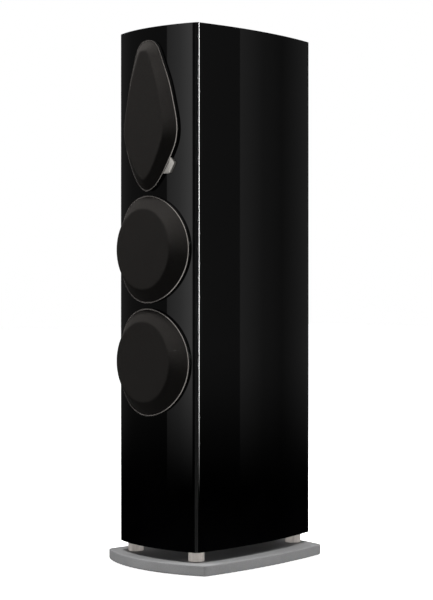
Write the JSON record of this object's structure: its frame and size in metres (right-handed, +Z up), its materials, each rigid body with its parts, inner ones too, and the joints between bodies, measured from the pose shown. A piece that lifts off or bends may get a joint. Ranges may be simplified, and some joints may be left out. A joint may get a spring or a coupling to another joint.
{
  "type": "floorstanding loudspeaker",
  "caption": "Tall black lacquered loudspeaker with a bowed front, curved sides, a kite-shaped and two round cloth grilles, and a bowed metal base plate on short spacers.",
  "frame": {"origin": "on the floor, under the middle of the overall box", "axes": "+Z up, the front with the drivers faces -Y, +X on the right seen from the front"},
  "size_m": [0.3078, 0.4598, 1.1046],
  "materials": {
    "cabinet_lacquer": "deep black lacquer, polished",
    "raw_board": "raw fibreboard",
    "black_plastic": "moulded, fine texture",
    "damping_foam": "open-cell foam",
    "plate_silver": "satin, fine grain",
    "brushed_spacer": "brushed along its length",
    "black_steel": "blackened",
    "rubber_pad": "matt",
    "magnet_nickel": "plated",
    "waveguide_plastic": "satin",
    "bright_trim": "fine satin",
    "dome_metal": "satin anodised",
    "motor_steel": "plated",
    "ferrite": "ground ferrite",
    "cast_basket": "black powder coat on casting",
    "surround_rubber": "matt",
    "cone_metal": "satin anodised",
    "coil_copper": "enamelled wire",
    "spider_cloth": "impregnated weave",
    "grille_plastic": "moulded",
    "grille_cloth": "fine stretched knit",
    "post_metal": "gold plated",
    "nut_metal": "nickel plated, fluted",
    "circuit_board": "solder mask",
    "capacitor_film": "wrapped film"
  },
  "bodies": {
    "cabinet": {"array_trim": "bright_trim", "array_waveguide": "waveguide_plastic", "badge_tab": "bright_trim", "base_plate": "plate_silver", "base_spacers": "brushed_spacer", "binding_posts": "post_metal", "bottom_panel": "cabinet_lacquer", "crossover_board": "circuit_board", "crossover_capacitors": "capacitor_film", "crossover_coils": "coil_copper", "damping_lining": "damping_foam", "floor_pads": "rubber_pad", "front_baffle": "cabinet_lacquer", "grille_magnets": "magnet_nickel", "left_side_panel": "cabinet_lacquer", "lower_midrange_motor": "motor_steel", "lower_woofer_basket": "cast_basket", "lower_woofer_magnet": "ferrite", "lower_woofer_spider": "spider_cloth", "lower_woofer_surround": "surround_rubber", "lower_woofer_top_plate": "motor_steel", "lower_woofer_trim": "bright_trim", "lower_woofer_yoke": "motor_steel", "midrange_chamber": "raw_board", "panel_screws": "black_steel", "port_tube": "black_plastic", "rear_panel": "cabinet_lacquer", "right_side_panel": "cabinet_lacquer", "shelf_braces": "raw_board", "spacer_bolts": "black_steel", "terminal_plate": "black_plastic", "top_panel": "cabinet_lacquer", "tweeter_motor": "motor_steel", "upper_midrange_motor": "motor_steel", "upper_woofer_basket": "cast_basket", "upper_woofer_magnet": "ferrite", "upper_woofer_spider": "spider_cloth", "upper_woofer_surround": "surround_rubber", "upper_woofer_top_plate": "motor_steel", "upper_woofer_trim": "bright_trim", "upper_woofer_yoke": "motor_steel"},
    "upper_woofer_diaphragm": {"upper_woofer_cone": "cone_metal", "upper_woofer_dust_cap": "cone_metal", "upper_woofer_voice_coil": "coil_copper"},
    "upper_woofer_grille": {"upper_woofer_grille_frame": "grille_plastic", "upper_woofer_grille_cloth": "grille_cloth"},
    "lower_woofer_diaphragm": {"lower_woofer_cone": "cone_metal", "lower_woofer_dust_cap": "cone_metal", "lower_woofer_voice_coil": "coil_copper"},
    "lower_woofer_grille": {"lower_woofer_grille_frame": "grille_plastic", "lower_woofer_grille_cloth": "grille_cloth"},
    "array_grille": {"array_grille_frame": "grille_plastic", "array_grille_cloth": "grille_cloth"},
    "tweeter_diaphragm": {"tweeter_dome": "dome_metal"},
    "upper_midrange_diaphragm": {"upper_midrange_dome": "dome_metal"},
    "lower_midrange_diaphragm": {"lower_midrange_dome": "dome_metal"},
    "upper_right_nut": {"upper_right_post_nut": "nut_metal"},
    "upper_left_nut": {"upper_left_post_nut": "nut_metal"},
    "lower_right_nut": {"lower_right_post_nut": "nut_metal"},
    "lower_left_nut": {"lower_left_post_nut": "nut_metal"}
  },
  "joints": [
    {"name": "upper_woofer_stroke", "type": "slide", "parent": "cabinet", "child": "upper_woofer_diaphragm", "axis": [0, -1, 0], "range_m": [-0.007, 0.007], "stiffness_N_per_m": 800, "deforming": ["upper_woofer_surround", "upper_woofer_spider"]},
    {"name": "upper_woofer_grille_pull", "type": "slide", "parent": "cabinet", "child": "upper_woofer_grille", "axis": [0, -1, 0], "range_m": [0, 0.06]},
    {"name": "lower_woofer_stroke", "type": "slide", "parent": "cabinet", "child": "lower_woofer_diaphragm", "axis": [0, -1, 0], "range_m": [-0.007, 0.007], "stiffness_N_per_m": 800, "deforming": ["lower_woofer_surround", "lower_woofer_spider"]},
    {"name": "lower_woofer_grille_pull", "type": "slide", "parent": "cabinet", "child": "lower_woofer_grille", "axis": [0, -1, 0], "range_m": [0, 0.06]},
    {"name": "array_grille_pull", "type": "slide", "parent": "cabinet", "child": "array_grille", "axis": [0, -1, 0], "range_m": [0, 0.06]},
    {"name": "tweeter_stroke", "type": "slide", "parent": "cabinet", "child": "tweeter_diaphragm", "axis": [0, -1, 0], "range_m": [-0.0004, 0.0004], "stiffness_N_per_m": 40},
    {"name": "upper_midrange_stroke", "type": "slide", "parent": "cabinet", "child": "upper_midrange_diaphragm", "axis": [0, -1, 0], "range_m": [-0.0006, 0.0006], "stiffness_N_per_m": 80},
    {"name": "lower_midrange_stroke", "type": "slide", "parent": "cabinet", "child": "lower_midrange_diaphragm", "axis": [0, -1, 0], "range_m": [-0.0006, 0.0006], "stiffness_N_per_m": 80},
    {"name": "upper_right_nut_turn", "type": "hinge", "parent": "cabinet", "child": "upper_right_nut", "pos_m": [0.0175, 0.21607, 0.1665], "axis": [0, 1, 0], "range_deg": [-1080, 0]},
    {"name": "upper_left_nut_turn", "type": "hinge", "parent": "cabinet", "child": "upper_left_nut", "pos_m": [-0.0175, 0.21607, 0.1665], "axis": [0, 1, 0], "range_deg": [-1080, 0]},
    {"name": "lower_right_nut_turn", "type": "hinge", "parent": "cabinet", "child": "lower_right_nut", "pos_m": [0.0175, 0.21607, 0.1475], "axis": [0, 1, 0], "range_deg": [-1080, 0]},
    {"name": "lower_left_nut_turn", "type": "hinge", "parent": "cabinet", "child": "lower_left_nut", "pos_m": [-0.0175, 0.21607, 0.1475], "axis": [0, 1, 0], "range_deg": [-1080, 0]}
  ]
}
